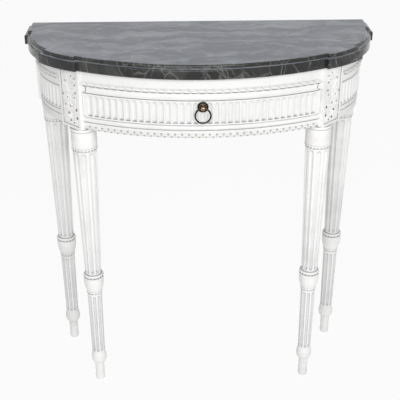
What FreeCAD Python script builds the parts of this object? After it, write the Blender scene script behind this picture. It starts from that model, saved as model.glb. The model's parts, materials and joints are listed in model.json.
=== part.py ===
import FreeCAD, Part
import math
import os

from FreeCAD import Vector

# A demilune console table: painted wood, a moulded marble top, four turned legs and one curved drawer.
# Millimetres. X runs along the wall, Y runs back to the wall and Z is up. The origin is on the floor,
# under the middle of the top. The right half is modelled and mirrored for the left.

# Marble top
HEIGHT = 800.0
MARBLE_THICKNESS = 26.0
MARBLE_WIDTH = 714.0
MARBLE_DEPTH = 302.0
MARBLE_FRONT_CURVE = 0.3062
MARBLE_STEP = 7.0
MARBLE_STEP_HEIGHT = 7.0
MARBLE_TOP_ROUND = 3.5
MARBLE_SHELF_ROUND = 2.5
EAR_PROJECTION = 7.0
EAR_START = 24.0
EAR_END = 52.0
BACK_EAR_LEAD = 8.0

# Legs
BLOCK = 58.0
BLOCK_HEIGHT = 126.0
FRONT_LEG_INSET = 20.5
FRONT_LEG_LEAD = 0.89
FRONT_LEG_TURN = 45.0
BACK_LEG_INSET = 39.0
WALL_GAP = 3.0
COLLAR_RADIUS = 26.4
SHAFT_TOP_RADIUS = 25.2
SHAFT_LOW_RADIUS = 17.6
TAPER_TOP_RADIUS = 16.2
TAPER_LOW_RADIUS = 14.4
KNOP_RADIUS = 21.6
KNOP_LOW_RADIUS = 17.4
KNOP_SWELL = 2.0
BULB_RADIUS = 17.3
BULB_SWELL = 2.2
BULB_SHOULDER = 0.5
PEG_RADIUS = 10.8
FOOT_RADIUS = 10.8
BEAD_SWELL = 1.6
NECK_HEIGHT = 12.0
NECK_RING_HEIGHT = 8.0
COLLAR_HEIGHT = 35.0
BEAD_HEIGHT = 8.0
KNOP_LEVEL = 250.0
KNOP_HEIGHT = 35.0
BULB_LEVEL = 47.5
BULB_HEIGHT = 31.0
FOOT_HEIGHT = 14.0
LEG_FLUTES = 10
LEG_FLUTE_MARGIN = 8.0
LEG_FLUTE_SHARE = 0.66
LEG_FLUTE_DEPTH_SHARE = 0.17
BLUNT_END = 0.96
PANEL_BORDER = 5.0
PANEL_DEPTH = 1.6

# Apron
APRON_FLATNESS = 1.0447
FRONT_OVERHANG = 14.0
SIDE_OVERHANG = 18.0
APRON_HEIGHT = 123.0
TOP_RAIL_HEIGHT = 31.5
BOTTOM_RAIL_HEIGHT = 24.5
FRONT_RAIL_THICKNESS = 22.0
SIDE_RAIL_THICKNESS = 20.0
BACK_RAIL_THICKNESS = 20.0
TENON_THICKNESS = 9.0
TENON_LENGTH = 17.0
TENON_SHOULDER = 6.0
JOINT_GAP = 0.15
GROOVE = 1.6
BAND_HEIGHT = 13.0
BAND_SWELL = 2.0
LOWER_BAND_HEIGHT = 8.5
RIBBON_HEIGHT = 8.0
RIBBON_PROJECTION = 5.0
LEAF_HEIGHT = 9.5
LEAF_PROJECTION = 4.5
FLUTE_WIDTH = 10.0
FLUTE_PITCH = 13.3
FLUTE_DEPTH = 3.0
FLUTE_FOOT = 3.0
FLUTE_HEAD = 2.5

# Drawer
DRAWER_GAP = 1.5
DRAWER_END_GAP = 1.5
DRAWER_CORNER = 8.0
CORNER_NOTCH = 7.0
DRAWER_FRONT_THICKNESS = 20.0
DRAWER_SIDE_THICKNESS = 12.0
DRAWER_POST_ROOM = 9.0
DRAWER_BACK_ROOM = 12.0
DRAWER_BACK_THICKNESS = 12.0
DRAWER_BOTTOM_THICKNESS = 6.0
DRAWER_BOTTOM_RISE = 6.0
DRAWER_GROOVE_DEPTH = 5.0
RUN_GAP = 0.3
GUIDE_GAP = 0.4
GUIDE_HEIGHT = 16.0
RUNNER_HEIGHT = 15.0
RUNNER_INSIDE = 14.0
KICKER_HEIGHT = 14.0
STUB_LENGTH = 8.0
STUB_MARGIN = 4.0
STOP_WIDTH = 26.0
STOP_HEIGHT = 30.0
STOP_SHARE = 0.58
STOP_GAP = 0.5

# Ring pull
PULL_DROP = 13.0
PULL_RING_RADIUS = 14.9
PULL_WIRE_RADIUS = 1.7
PULL_EYE_RADIUS = 4.5
PULL_EYE_HOLE = 2.4
PULL_SHANK_RADIUS = 2.5
ROSETTE_RADIUS = 10.8
ROSETTE_HEIGHT = 4.0
ROSETTE_EDGE = 1.0
ROSETTE_RIM = 2.2
ROSETTE_SWELL = 0.9
WASHER_RADIUS = 6.5
WASHER_THICKNESS = 1.5
NUT_WIDTH = 9.0
NUT_THICKNESS = 4.0
BOLT_TAIL = 2.0

# Fasteners
SCREW_RADIUS = 2.2
SCREW_HEAD_RADIUS = 4.2
SCREW_HEAD_HEIGHT = 2.6
SCREW_LENGTH = 46.0
NAIL_RADIUS = 1.0
NAIL_HEAD_RADIUS = 2.4
NAIL_HEAD_HEIGHT = 1.0
NAIL_LENGTH = 20.0
NAIL_SHARE = 0.62
FASTENER_GAP = 0.05

# Levels and places worked out from the sizes above
UP = Vector(0, 0, 1)
FORWARD = Vector(0, -1, 0)
RIGHT_ANGLE = 90.0
LONG_REACH = HEIGHT + MARBLE_DEPTH
WOOD_TOP = HEIGHT - MARBLE_THICKNESS
BLOCK_BOTTOM = WOOD_TOP - BLOCK_HEIGHT
APRON_BOTTOM = WOOD_TOP - APRON_HEIGHT
OPENING_TOP = WOOD_TOP - TOP_RAIL_HEIGHT
OPENING_BOTTOM = APRON_BOTTOM + BOTTOM_RAIL_HEIGHT
BACK_Y = MARBLE_DEPTH / 2
BACK_LEG_X = MARBLE_WIDTH / 2 - BACK_LEG_INSET
BACK_LEG_Y = BACK_Y - WALL_GAP - BLOCK / 2
BACK_LEG = Vector(BACK_LEG_X, BACK_LEG_Y, 0)
MARBLE_FRONT_RADIUS = MARBLE_FRONT_CURVE * MARBLE_WIDTH * MARBLE_WIDTH / MARBLE_DEPTH
MARBLE_CENTRE = Vector(0, MARBLE_FRONT_RADIUS - MARBLE_DEPTH / 2, 0)

# The side arc of the top runs on smoothly from the front arc and ends straight, at the widest place
SIDE_CENTRE_Y = BACK_LEG_Y - BLOCK / 2
ARC_FALL = MARBLE_CENTRE.y - SIDE_CENTRE_Y
ARC_SPARE = MARBLE_FRONT_RADIUS - MARBLE_WIDTH / 2
SIDE_CENTRE_X = (ARC_FALL * ARC_FALL - ARC_SPARE * ARC_SPARE) / (2 * ARC_SPARE)
SIDE_CENTRE = Vector(SIDE_CENTRE_X, SIDE_CENTRE_Y, 0)
JOIN_ANGLE = math.degrees(math.atan2(SIDE_CENTRE_X, ARC_FALL))
MARBLE_SIDE_RADIUS = MARBLE_WIDTH / 2 - SIDE_CENTRE_X
SIDE_FACE_RADIUS = MARBLE_SIDE_RADIUS - SIDE_OVERHANG
FRONT_LEG_REACH = SIDE_FACE_RADIUS - FRONT_LEG_INSET
FRONT_LEG_ANGLE = JOIN_ANGLE + FRONT_LEG_LEAD
FRONT_LEG_X = SIDE_CENTRE_X + FRONT_LEG_REACH * math.sin(math.radians(FRONT_LEG_ANGLE))
FRONT_LEG_Y = SIDE_CENTRE_Y - FRONT_LEG_REACH * math.cos(math.radians(FRONT_LEG_ANGLE))
FRONT_LEG = Vector(FRONT_LEG_X, FRONT_LEG_Y, 0)
APRON_RADIUS = MARBLE_FRONT_RADIUS * APRON_FLATNESS
APRON_CENTRE = Vector(0, APRON_RADIUS + FRONT_OVERHANG - MARBLE_DEPTH / 2, 0)
APRON_FRONT_Y = APRON_CENTRE.y - APRON_RADIUS
RAIL_BACK_Y = BACK_LEG_Y + BLOCK / 2
RAIL_FRONT_Y = RAIL_BACK_Y - BACK_RAIL_THICKNESS
DRAWER_BACK_Y = RAIL_FRONT_Y - DRAWER_BACK_ROOM
DRAWER_LOW = OPENING_BOTTOM + DRAWER_GAP
DRAWER_HIGH = OPENING_TOP - DRAWER_GAP
BAND_LOW = DRAWER_HIGH - BAND_HEIGHT
POST_INNER_X = FRONT_LEG_X - BLOCK / math.sqrt(2)
DRAWER_HALF = POST_INNER_X - DRAWER_POST_ROOM
RUNNER_TOP = DRAWER_LOW - RUN_GAP
RUNNER_X0 = DRAWER_HALF - RUNNER_INSIDE
RUNNER_X1 = DRAWER_HALF + DRAWER_POST_ROOM - GUIDE_GAP
PULL_Z = BAND_LOW - PULL_DROP


def closed_face(points, place):
    """A flat face through points: (a, b) ends a line, (a, b, c, d) ends an arc that passes a, b."""
    edges = []
    last = place(*points[0])
    for item in points[1:]:
        end = place(*item[-2:])
        if len(item) == 4:
            edges.append(Part.Arc(last, place(*item[:2]), end).toShape())
        else:
            edges.append(Part.makeLine(last, end))
        last = end
    edges.append(Part.makeLine(last, place(*points[0])))
    return Part.Face(Part.Wire(edges))


def swept(points, centre, start, end):
    """A profile of radius and height, swept about an upright axis. Angle 0 faces the front."""
    face = closed_face(points, lambda r, z: Vector(centre.x, centre.y - r, z))
    face.rotate(centre, UP, start)
    return face.revolve(centre, UP, end - start)


def sector(centre, inner, outer, low, high, start, end):
    """A swept rectangle."""
    return swept([(inner, low), (outer, low), (outer, high), (inner, high)], centre, start, end)


def block(x0, x1, y0, y1, z0, z1):
    """A box between two corners."""
    return Part.makeBox(x1 - x0, y1 - y0, z1 - z0, Vector(x0, y0, z0))


def post(leg, turn):
    """The square block of a leg."""
    half = BLOCK / 2
    solid = block(leg.x - half, leg.x + half, leg.y - half, leg.y + half, BLOCK_BOTTOM, WOOD_TOP)
    solid.rotate(leg, UP, turn)
    return solid


def front_post_trim(grow=0.0):
    """The right front block made taller and deeper, to trim the pieces that end against its sides."""
    half = BLOCK / 2 + grow
    solid = block(FRONT_LEG_X - half, FRONT_LEG_X + half, FRONT_LEG_Y - LONG_REACH, FRONT_LEG_Y + half,
                  0, LONG_REACH)
    solid.rotate(FRONT_LEG, UP, FRONT_LEG_TURN)
    return solid


def mirrored(shape):
    """The left-hand copy of a right-hand piece."""
    return shape.mirror(Vector(0, 0, 0), Vector(1, 0, 0))


def largest(shape):
    """The main solid of a cut shape, with its faces turned outwards."""
    return Part.makeSolid(max(shape.Solids, key=lambda solid: abs(solid.Volume)).OuterShell)


def around(centre, radius, angle, z=0.0):
    """A point on an upright cylinder."""
    turn = math.radians(angle)
    return Vector(centre.x + radius * math.sin(turn), centre.y - radius * math.cos(turn), z)


def meeting_angle(centre, radius, leg, facing, side, grow=0.0):
    """The angle at which an arc meets the face of a leg block that looks along facing."""
    normal = around(Vector(0, 0, 0), 1.0, facing)
    share = (BLOCK / 2 + grow - normal.dot(centre - leg)) / radius
    return facing + side * math.degrees(math.acos(share))


def turned(points):
    """A solid of revolution about the upright axis through the origin."""
    return closed_face(points, lambda r, z: Vector(r, 0, z)).revolve(Vector(0, 0, 0), UP, 360)


def across(points, z):
    """A solid of revolution about the line that runs forward through the pull, from the drawer's face."""
    start = Vector(0, APRON_FRONT_Y, z)
    face = closed_face(points, lambda r, d: Vector(r, APRON_FRONT_Y - d, z))
    return face.revolve(start, FORWARD, 360)


def round_ended(start, end, start_radius, end_radius, outward, flat_start=False):
    """A tapering rod with blunt round ends, or with a flat start, turned about the line from start to end."""
    run = end - start
    along = run * (1 / run.Length)
    side = outward - along * outward.dot(along)
    side = side * (1 / side.Length)
    lean = math.sqrt(0.5)
    blunt = BLUNT_END * lean

    def place(r, z):
        return start + side * r + along * z

    if flat_start:
        points = [(0, 0), (start_radius, 0)]
    else:
        points = [(0, -start_radius * BLUNT_END)]
        points.append((start_radius * lean, -start_radius * blunt, start_radius, 0))
    top = run.Length
    points.append((end_radius, top))
    points.append((end_radius * lean, top + end_radius * blunt, 0, top + end_radius * BLUNT_END))
    return closed_face(points, place).revolve(start, along, 360)


def pin(start, direction, length, radius, head_radius, head_height):
    """A headed pin that points along direction, with its head's top at start."""
    head = Part.makeCone(head_radius, radius, head_height, start, direction)
    return head.fuse(Part.makeCylinder(radius, length, start, direction)).removeSplitter()


# Marble top

def marble_slab(inset, low, high):
    """The half-moon outline with its four ears, drawn in by inset on the three moulded sides."""
    front = MARBLE_FRONT_RADIUS - inset
    side = MARBLE_SIDE_RADIUS - inset
    corner = around(SIDE_CENTRE, side, RIGHT_ANGLE)
    right = Vector(corner.x, BACK_Y, 0)
    left = Vector(-corner.x, BACK_Y, 0)
    tangent = around(MARBLE_CENTRE, front, JOIN_ANGLE)
    middle = around(MARBLE_CENTRE, front, 0)
    flank = around(SIDE_CENTRE, side, (JOIN_ANGLE + RIGHT_ANGLE) / 2)

    def flipped(point):
        return Vector(-point.x, point.y, 0)

    edges = [
        Part.Arc(flipped(tangent), middle, tangent).toShape(),
        Part.Arc(tangent, flank, corner).toShape(),
        Part.makeLine(corner, right),
        Part.makeLine(right, left),
        Part.makeLine(left, flipped(corner)),
        Part.Arc(flipped(corner), flipped(flank), flipped(tangent)).toShape(),
    ]
    slab = Part.Face(Part.Wire(edges)).extrude(Vector(0, 0, high - low))
    slab.translate(Vector(0, 0, low))

    ear_radius = side + EAR_PROJECTION
    drawn = math.degrees(inset / ear_radius)
    ear = sector(SIDE_CENTRE, side / 2, ear_radius, low, high, EAR_START + drawn, EAR_END - drawn)
    ear_front = SIDE_CENTRE.y - BACK_EAR_LEAD + inset
    reach = corner.x + EAR_PROJECTION
    back_ears = block(-reach, reach, ear_front, BACK_Y, low, high)
    return slab.fuse([ear, mirrored(ear), back_ears]).removeSplitter()


def rounded_rim(slab, level, radius):
    """Rounds the slab's edges at one level, apart from the straight edge along the wall."""
    rim = []
    for edge in slab.Edges:
        box = edge.BoundBox
        at_level = abs(box.ZMin - level) < 0.001 and abs(box.ZMax - level) < 0.001
        at_wall = abs(box.YMin - BACK_Y) < 0.001
        if at_level and not at_wall:
            rim.append(edge)
    return slab.makeFillet(radius, rim)


def marble_top():
    """A thick lower member with a stepped and rounded upper member."""
    shelf = HEIGHT - MARBLE_STEP_HEIGHT
    lower = rounded_rim(marble_slab(0.0, WOOD_TOP, shelf), shelf, MARBLE_SHELF_ROUND)
    upper = rounded_rim(marble_slab(MARBLE_STEP, shelf, HEIGHT), HEIGHT, MARBLE_TOP_ROUND)
    return lower.fuse(upper).removeSplitter()


# Legs

NECK_LOW = BLOCK_BOTTOM - NECK_HEIGHT
COLLAR_LOW = NECK_LOW - COLLAR_HEIGHT
SHAFT_TOP = COLLAR_LOW - BEAD_HEIGHT
KNOP_TOP = KNOP_LEVEL + KNOP_HEIGHT
SHAFT_LOW = KNOP_TOP + BEAD_HEIGHT
TAPER_TOP = KNOP_LEVEL - BEAD_HEIGHT
BULB_TOP = BULB_LEVEL + BULB_HEIGHT


def bead(radius, low):
    """A rounded ring on a turning, one bead high."""
    return [(radius, low), (radius + BEAD_SWELL, low + BEAD_HEIGHT / 2, radius, low + BEAD_HEIGHT)]


def leg_flutes(low, low_radius, high, high_radius):
    """Round-ended tapering flutes along a tapering shaft."""
    def cutter(radius):
        half = math.pi * radius / LEG_FLUTES * LEG_FLUTE_SHARE
        depth = radius * LEG_FLUTE_DEPTH_SHARE
        size = (half * half + depth * depth) / (2 * depth)
        return size, radius + size - depth

    low_size, low_place = cutter(low_radius)
    high_size, high_place = cutter(high_radius)
    start = Vector(low_place, 0, low + LEG_FLUTE_MARGIN)
    end = Vector(high_place, 0, high - LEG_FLUTE_MARGIN)
    rod = round_ended(start, end, low_size, high_size, Vector(1, 0, 0))
    rod.rotate(Vector(0, 0, 0), UP, -RIGHT_ANGLE)
    cutters = []
    for index in range(LEG_FLUTES):
        cutter_rod = rod.copy()
        cutter_rod.rotate(Vector(0, 0, 0), UP, index * 360 / LEG_FLUTES)
        cutters.append(cutter_rod)
    return cutters


def leg_turning():
    """Foot, peg, bulb, fluted taper, knop, fluted shaft, collar and neck, in one turning."""
    foot_neck = PEG_RADIUS - BEAD_SWELL / 2
    shoulder = BULB_LEVEL + BULB_HEIGHT * BULB_SHOULDER
    bulb_low = (PEG_RADIUS + BULB_RADIUS) / 2
    bulb_high = (BULB_RADIUS + TAPER_LOW_RADIUS) / 2
    knop_middle = (KNOP_LOW_RADIUS + KNOP_RADIUS) / 2 + KNOP_SWELL
    throat = COLLAR_RADIUS - BEAD_SWELL
    ring_low = NECK_LOW
    ring_high = NECK_LOW + NECK_RING_HEIGHT
    root = BLOCK_BOTTOM + NECK_HEIGHT
    profile = [(0, 0), (foot_neck, 0)]
    profile.append((FOOT_RADIUS, FOOT_HEIGHT / 2, foot_neck, FOOT_HEIGHT))
    profile.append((PEG_RADIUS, BULB_LEVEL))
    profile.append((bulb_low + BULB_SWELL, (BULB_LEVEL + shoulder) / 2, BULB_RADIUS, shoulder))
    profile.append((bulb_high + BEAD_SWELL / 2, (shoulder + BULB_TOP) / 2, TAPER_LOW_RADIUS, BULB_TOP))
    profile.append((TAPER_TOP_RADIUS, TAPER_TOP))
    profile += bead(TAPER_TOP_RADIUS - BEAD_SWELL / 2, TAPER_TOP)
    profile.append((KNOP_LOW_RADIUS, KNOP_LEVEL))
    profile.append((knop_middle, KNOP_LEVEL + KNOP_HEIGHT / 2, KNOP_RADIUS, KNOP_TOP))
    profile += bead(KNOP_RADIUS - BEAD_SWELL, KNOP_TOP)
    profile.append((SHAFT_LOW_RADIUS, SHAFT_LOW))
    profile.append((SHAFT_TOP_RADIUS, SHAFT_TOP))
    profile += bead(SHAFT_TOP_RADIUS - BEAD_SWELL / 2, SHAFT_TOP)
    profile.append((COLLAR_RADIUS, COLLAR_LOW))
    profile.append((COLLAR_RADIUS, ring_low))
    profile.append((throat, ring_low))
    profile.append((COLLAR_RADIUS + BEAD_SWELL, (ring_low + ring_high) / 2, throat, ring_high))
    profile.append((throat - BEAD_SWELL, BLOCK_BOTTOM))
    profile.append((throat - BEAD_SWELL, root))
    profile.append((0, root))
    cutters = leg_flutes(BULB_TOP, TAPER_LOW_RADIUS, TAPER_TOP, TAPER_TOP_RADIUS)
    cutters += leg_flutes(SHAFT_LOW, SHAFT_LOW_RADIUS, SHAFT_TOP, SHAFT_TOP_RADIUS)
    return turned(profile).cut(cutters)


def leg(turning, place, turn, mortises):
    """A turning under its square block, with the rails' mortises cut in the block."""
    shaft = turning.copy()
    shaft.translate(place)
    return largest(post(place, turn).fuse(shaft).removeSplitter().cut(mortises))


def carved_panel_recess():
    """The sunk panel on the front block's outward face."""
    half = BLOCK / 2
    recess = block(
        FRONT_LEG_X - half + PANEL_BORDER,
        FRONT_LEG_X + half - PANEL_BORDER,
        FRONT_LEG_Y - half - PANEL_DEPTH,
        FRONT_LEG_Y - half + PANEL_DEPTH,
        BLOCK_BOTTOM + PANEL_BORDER,
        WOOD_TOP - PANEL_BORDER,
    )
    recess.rotate(FRONT_LEG, UP, FRONT_LEG_TURN)
    return recess


# Apron

FRONT_END = math.degrees(math.atan2(FRONT_LEG_X, APRON_CENTRE.y - FRONT_LEG_Y))
SIDE_START = math.degrees(math.atan2(FRONT_LEG_X - SIDE_CENTRE.x, SIDE_CENTRE.y - FRONT_LEG_Y))
FRONT_TENON_ANGLE = meeting_angle(
    APRON_CENTRE, APRON_RADIUS - FRONT_RAIL_THICKNESS / 2, FRONT_LEG, FRONT_LEG_TURN - RIGHT_ANGLE, 1)
SIDE_FACE_ANGLE = meeting_angle(
    SIDE_CENTRE, SIDE_FACE_RADIUS, FRONT_LEG, FRONT_LEG_TURN + RIGHT_ANGLE, -1)
DRAWER_END_ANGLE = meeting_angle(
    APRON_CENTRE, APRON_RADIUS, FRONT_LEG, FRONT_LEG_TURN - RIGHT_ANGLE, 1, DRAWER_END_GAP)


def between_posts(shape, grow=0.0):
    """Trims a piece of the front to the gap between the two front blocks."""
    right = front_post_trim(grow)
    return largest(shape.cut([right, mirrored(right)]))


def beside_post(shape):
    """Trims a piece of the right side at the front block."""
    return largest(shape.cut(front_post_trim()))


def front_tenon(low, high, grow=0.0):
    """The right-hand tenon of a front rail, as the part of its sweep inside the front block."""
    middle = APRON_RADIUS - FRONT_RAIL_THICKNESS / 2
    half = TENON_THICKNESS / 2 + grow
    end = FRONT_TENON_ANGLE + math.degrees((TENON_LENGTH + grow) / middle)
    strip = sector(APRON_CENTRE, middle - half, middle + half, low + TENON_SHOULDER - grow,
                   high - TENON_SHOULDER + grow, 0, end)
    return strip.common(front_post_trim())


def side_tenons(grow=0.0):
    """The right side rail's tenons, into the front block and into the back block."""
    middle = SIDE_FACE_RADIUS - SIDE_RAIL_THICKNESS / 2
    half = TENON_THICKNESS / 2 + grow
    low = BLOCK_BOTTOM + TENON_SHOULDER - grow
    high = WOOD_TOP - TENON_SHOULDER + grow
    start = SIDE_FACE_ANGLE - math.degrees((TENON_LENGTH + grow) / middle)
    front = sector(SIDE_CENTRE, middle - half, middle + half, low, high, start, RIGHT_ANGLE)
    front = front.common(front_post_trim())
    x = SIDE_CENTRE.x + middle
    y = SIDE_CENTRE.y
    back = block(x - half, x + half, y, y + TENON_LENGTH + grow, low, high)
    return [front, back]


def back_tenon(grow=0.0):
    """The back rail's right-hand tenon."""
    middle = (RAIL_FRONT_Y + RAIL_BACK_Y) / 2
    half = TENON_THICKNESS / 2 + grow
    x = BACK_LEG_X - BLOCK / 2
    low = BLOCK_BOTTOM + TENON_SHOULDER - grow
    high = WOOD_TOP - TENON_SHOULDER + grow
    return block(x, x + TENON_LENGTH + grow, middle - half, middle + half, low, high)


def face_flutes(centre, radius, start, end, low, high):
    """Flutes with arched heads and flat feet, cut in an upright curved face between two angles."""
    half = FLUTE_WIDTH / 2
    size = (half * half + FLUTE_DEPTH * FLUTE_DEPTH) / (2 * FLUTE_DEPTH)
    place = radius + size - FLUTE_DEPTH
    step = math.degrees(FLUTE_PITCH / radius)
    count = int((end - start) / step)
    first = (start + end) / 2 - step * (count - 1) / 2
    cutters = []
    for index in range(count):
        angle = first + index * step
        foot = around(centre, place, angle, low + FLUTE_FOOT)
        head = around(centre, place, angle, high - FLUTE_HEAD - half)
        outward = around(Vector(0, 0, 0), 1.0, angle)
        cutters.append(round_ended(foot, head, size, size, outward, flat_start=True))
    return cutters


def banded_profile(face, thickness, low, high, band_low):
    """A rail's section with a fine groove under a gently swelling band."""
    inner = face - thickness
    top = band_low + BAND_HEIGHT
    points = [(inner, low), (face, low), (face, band_low - GROOVE)]
    points += [(face - GROOVE, band_low - GROOVE), (face - GROOVE, band_low), (face, band_low)]
    points.append((face + BAND_SWELL, (band_low + top) / 2, face, top))
    if high > top:
        points.append((face, high))
    points.append((inner, high))
    return points


def moulding(centre, face, low, height, projection, start, end):
    """A half-round strip seated on a curved face."""
    seat = face + JOINT_GAP
    strip = [(seat, low), (seat + projection, low + height / 2, seat, low + height)]
    return swept(strip, centre, start, end)


def front_top_rail():
    """The curved rail over the drawer, with a tenon at each end."""
    inner = APRON_RADIUS - FRONT_RAIL_THICKNESS
    arc = sector(APRON_CENTRE, inner, APRON_RADIUS, OPENING_TOP, WOOD_TOP, -FRONT_END, FRONT_END)
    rail = between_posts(arc)
    tenon = front_tenon(OPENING_TOP, WOOD_TOP)
    stub = kicker_stub(JOINT_GAP)
    return rail.fuse([tenon, mirrored(tenon)]).removeSplitter().cut([stub, mirrored(stub)])


def drawer_outline(grow):
    """The drawer front's face as seen from the front, with rounded lower corners, as a deep prism."""
    half = around(APRON_CENTRE, APRON_RADIUS, DRAWER_END_ANGLE).x + grow
    low = DRAWER_LOW - grow
    corner = DRAWER_CORNER + grow
    slope = corner * (1 - math.sqrt(0.5))
    points = [
        (-half, DRAWER_HIGH + grow),
        (-half, low + corner),
        (-half + slope, low + slope, -half + corner, low),
        (half - corner, low),
        (half - slope, low + slope, half, low + corner),
        (half, DRAWER_HIGH + grow),
    ]
    face = closed_face(points, lambda x, z: Vector(x, -LONG_REACH, z))
    return face.extrude(Vector(0, 2 * LONG_REACH, 0))


def front_bottom_rail():
    """The curved rail under the drawer, swelling at its upper edge, with a cove in each end corner."""
    inner = APRON_RADIUS - FRONT_RAIL_THICKNESS
    band_low = OPENING_BOTTOM - LOWER_BAND_HEIGHT
    face = APRON_RADIUS
    points = [(inner, APRON_BOTTOM), (face, APRON_BOTTOM), (face, band_low - GROOVE)]
    points += [(face - GROOVE, band_low - GROOVE), (face - GROOVE, band_low), (face, band_low)]
    points.append((face + BAND_SWELL, (band_low + OPENING_BOTTOM) / 2, face, OPENING_BOTTOM))
    points.append((inner, OPENING_BOTTOM))
    rail = between_posts(swept(points, APRON_CENTRE, -FRONT_END, FRONT_END))
    corner_angle = math.degrees((DRAWER_CORNER + DRAWER_GAP + DRAWER_END_GAP) / APRON_RADIUS)
    cove = sector(APRON_CENTRE, inner, face, OPENING_BOTTOM, DRAWER_LOW + DRAWER_CORNER,
                  DRAWER_END_ANGLE - corner_angle, FRONT_END)
    cove = cove.cut([front_post_trim(), drawer_outline(DRAWER_GAP)])
    tenon = front_tenon(APRON_BOTTOM, OPENING_BOTTOM)
    stub = runner_stub(JOINT_GAP)
    rail = rail.fuse([cove, mirrored(cove), tenon, mirrored(tenon)]).removeSplitter()
    return rail.cut([stub, mirrored(stub)])


def side_rail():
    """The right side apron: grooved, banded and fluted like the drawer front, tenoned at both ends."""
    points = banded_profile(SIDE_FACE_RADIUS, SIDE_RAIL_THICKNESS, APRON_BOTTOM, WOOD_TOP, BAND_LOW)
    band_low = OPENING_BOTTOM - LOWER_BAND_HEIGHT
    rail = beside_post(swept(points, SIDE_CENTRE, SIDE_START, RIGHT_ANGLE))
    groove = sector(SIDE_CENTRE, SIDE_FACE_RADIUS - GROOVE, SIDE_FACE_RADIUS + GROOVE,
                    band_low - GROOVE, band_low, SIDE_START, RIGHT_ANGLE)
    edge = sector(SIDE_CENTRE, SIDE_FACE_RADIUS - GROOVE, SIDE_FACE_RADIUS + GROOVE,
                  OPENING_BOTTOM, OPENING_BOTTOM + GROOVE, SIDE_START, RIGHT_ANGLE)
    margin = math.degrees(FLUTE_WIDTH / 4 / SIDE_FACE_RADIUS)
    flutes = face_flutes(SIDE_CENTRE, SIDE_FACE_RADIUS, SIDE_FACE_ANGLE + margin,
                         RIGHT_ANGLE - margin, DRAWER_LOW, BAND_LOW)
    rail = rail.cut([groove, edge] + flutes)
    return largest(rail.fuse(side_tenons()).removeSplitter())


def back_rail():
    """The straight rail along the wall, with a tenon at each end and the screw holes of the runners."""
    half = BACK_LEG_X - BLOCK / 2
    rail = block(-half, half, RAIL_FRONT_Y, RAIL_BACK_Y, BLOCK_BOTTOM, WOOD_TOP)
    tenon = back_tenon()
    rail = rail.fuse([tenon, mirrored(tenon)]).removeSplitter()
    return rail.cut(screw_shapes(FASTENER_GAP))


def front_ribbon_moulding():
    """The strip that is carved as a twisted ribbon, on the top rail's lower edge."""
    strip = moulding(APRON_CENTRE, APRON_RADIUS, OPENING_TOP, RIBBON_HEIGHT, RIBBON_PROJECTION,
                     -FRONT_END, FRONT_END)
    return between_posts(strip, JOINT_GAP)


def side_ribbon_moulding():
    """The same strip on the right side apron."""
    strip = moulding(SIDE_CENTRE, SIDE_FACE_RADIUS, OPENING_TOP, RIBBON_HEIGHT, RIBBON_PROJECTION,
                     SIDE_START, RIGHT_ANGLE)
    return beside_post(strip)


def front_leaf_moulding():
    """The strip that is carved with small leaves, on the bottom rail's lower edge."""
    strip = moulding(APRON_CENTRE, APRON_RADIUS, APRON_BOTTOM, LEAF_HEIGHT, LEAF_PROJECTION,
                     -FRONT_END, FRONT_END)
    return between_posts(strip, JOINT_GAP)


# Drawer

def drawer_front_sweep(end):
    """The banded section of the drawer front, swept past both ends."""
    points = banded_profile(APRON_RADIUS, DRAWER_FRONT_THICKNESS, DRAWER_LOW, DRAWER_HIGH, BAND_LOW)
    return swept(points, APRON_CENTRE, -end, end)


def corner_notch(grow):
    """The round notch in the drawer front's upper right corner that the band's fixed end fills."""
    edge = around(APRON_CENTRE, APRON_RADIUS, DRAWER_END_ANGLE)
    start = Vector(edge.x, BACK_Y, OPENING_TOP - CORNER_NOTCH)
    return Part.makeCylinder(CORNER_NOTCH + grow, LONG_REACH, start, FORWARD)


def corner_return():
    """The fixed end of the drawer's band, a half-round block on the right post, under the top rail."""
    points = banded_profile(APRON_RADIUS, DRAWER_FRONT_THICKNESS, DRAWER_LOW, OPENING_TOP, BAND_LOW)
    piece = swept(points, APRON_CENTRE, 0, FRONT_END).common(corner_notch(0.0))
    return largest(piece.cut(front_post_trim()))


def drawer_bottom(grow=0.0):
    """The thin bottom, let into the front and the sides and passing under the back."""
    half = DRAWER_HALF - DRAWER_SIDE_THICKNESS + DRAWER_GROOVE_DEPTH + grow
    low = DRAWER_LOW + DRAWER_BOTTOM_RISE - grow
    high = low + DRAWER_BOTTOM_THICKNESS + 2 * grow
    reach = APRON_RADIUS - DRAWER_FRONT_THICKNESS + DRAWER_GROOVE_DEPTH + grow
    disc = Part.makeCylinder(reach, high - low, APRON_CENTRE + Vector(0, 0, low), UP)
    panel = block(-half, half, APRON_FRONT_Y, DRAWER_BACK_Y + grow, low, high)
    return panel.common(disc)


def drawer_front():
    """The curved front: rounded lower corners, notched upper corners, flutes, and a bolt hole."""
    front = between_posts(drawer_front_sweep(FRONT_END), DRAWER_END_GAP)
    front = front.common(drawer_outline(0.0))
    notch = corner_notch(DRAWER_GAP)
    end = DRAWER_END_ANGLE - math.degrees(FLUTE_WIDTH / 4 / APRON_RADIUS)
    flutes = face_flutes(APRON_CENTRE, APRON_RADIUS, -end, end, DRAWER_LOW, BAND_LOW - GROOVE)
    return largest(front.cut([notch, mirrored(notch), drawer_bottom(JOINT_GAP), bolt_bore()] + flutes))


def drawer_side():
    """The right side of the drawer box, fitted to the curved front."""
    inner = DRAWER_HALF - DRAWER_SIDE_THICKNESS
    side = block(inner, DRAWER_HALF, APRON_FRONT_Y, DRAWER_BACK_Y, DRAWER_LOW, DRAWER_HIGH)
    reach = APRON_RADIUS - DRAWER_FRONT_THICKNESS - JOINT_GAP
    inside = Part.makeCylinder(reach, LONG_REACH, APRON_CENTRE, UP)
    return largest(side.common(inside).cut(drawer_bottom(JOINT_GAP)))


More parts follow.
